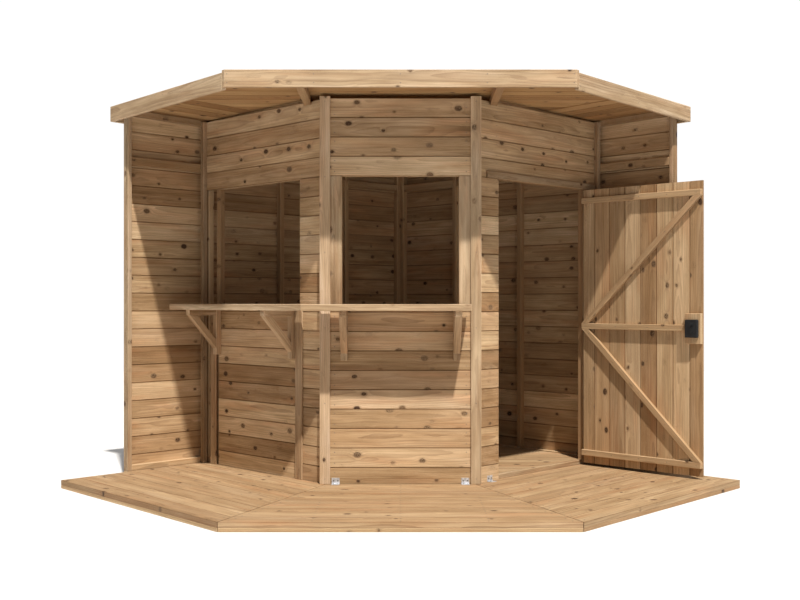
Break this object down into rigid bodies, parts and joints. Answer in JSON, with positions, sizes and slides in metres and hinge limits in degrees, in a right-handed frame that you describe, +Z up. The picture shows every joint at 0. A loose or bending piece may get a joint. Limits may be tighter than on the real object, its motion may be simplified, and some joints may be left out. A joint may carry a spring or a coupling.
{
  "type": "outdoor garden bar",
  "caption": "Corner garden bar shed of timber boards with serving hatches, L-shaped counter on brackets, ledged door, pent felt roof and a deck round its front.",
  "frame": {"origin": "ground under the middle of the whole plan's box, deck and roof included", "axes": "+X to the right seen from the front, -Y towards the front deck, +Z up"},
  "size_m": [3.96, 3.309, 2.316],
  "materials": {
    "cladding": "sawn softwood, brown treated",
    "trim": "sawn softwood, brown treated",
    "frame": "sawn softwood, brown treated",
    "floor": "sawn softwood, brown treated",
    "counter": "sawn softwood, brown treated",
    "roof_timber": "sawn softwood, brown treated",
    "fascia": "sawn softwood, brown treated",
    "deck": "sawn softwood, brown treated",
    "door": "sawn softwood, brown treated",
    "felt": "mineral felt",
    "lock": "black enamel",
    "hinge_steel": "black powder coat",
    "zinc": "bright zinc plate"
  },
  "bodies": {
    "building": {"back_left_boards": "cladding", "back_right_boards": "cladding", "left_wall_ends": "cladding", "left_wall_panels": "cladding", "middle_wall_panels": "cladding", "right_wall_ends": "cladding", "right_wall_header": "cladding", "middle_wall_jambs": "trim", "corner_posts": "trim", "wing_end_boards": "trim", "inner_battens": "trim", "hatch_battens": "trim", "door_head_batten": "trim", "roof_wedges": "trim", "back_studs": "frame", "back_rails": "frame", "front_studs": "frame", "front_rails": "frame", "rafters": "frame", "base_bearers": "frame", "floor_joists": "frame", "deck_bearers": "frame", "floor_boards": "floor", "door_sill": "floor", "left_counter": "counter", "middle_counter": "counter", "left_brackets": "counter", "middle_brackets": "counter", "roof_middle": "roof_timber", "roof_left": "roof_timber", "roof_right": "roof_timber", "front_fascia": "fascia", "side_fascias": "fascia", "back_fascia_left": "fascia", "back_fascia_right": "fascia", "roof_felt": "felt", "deck_middle": "deck", "deck_right": "deck", "deck_left": "deck", "hinge_flaps": "hinge_steel", "angle_plates": "zinc"},
    "door": {"door_boards": "door", "door_ledges": "door", "door_braces": "door", "lock_block": "door", "rim_lock": "lock", "hinge_straps": "hinge_steel"}
  },
  "joints": [
    {"name": "door_hinge", "type": "hinge", "parent": "building", "child": "door", "pos_m": [1.17884, 0.16238, 0.9], "axis": [0, 0, 1], "range_deg": [-90, 10]}
  ]
}
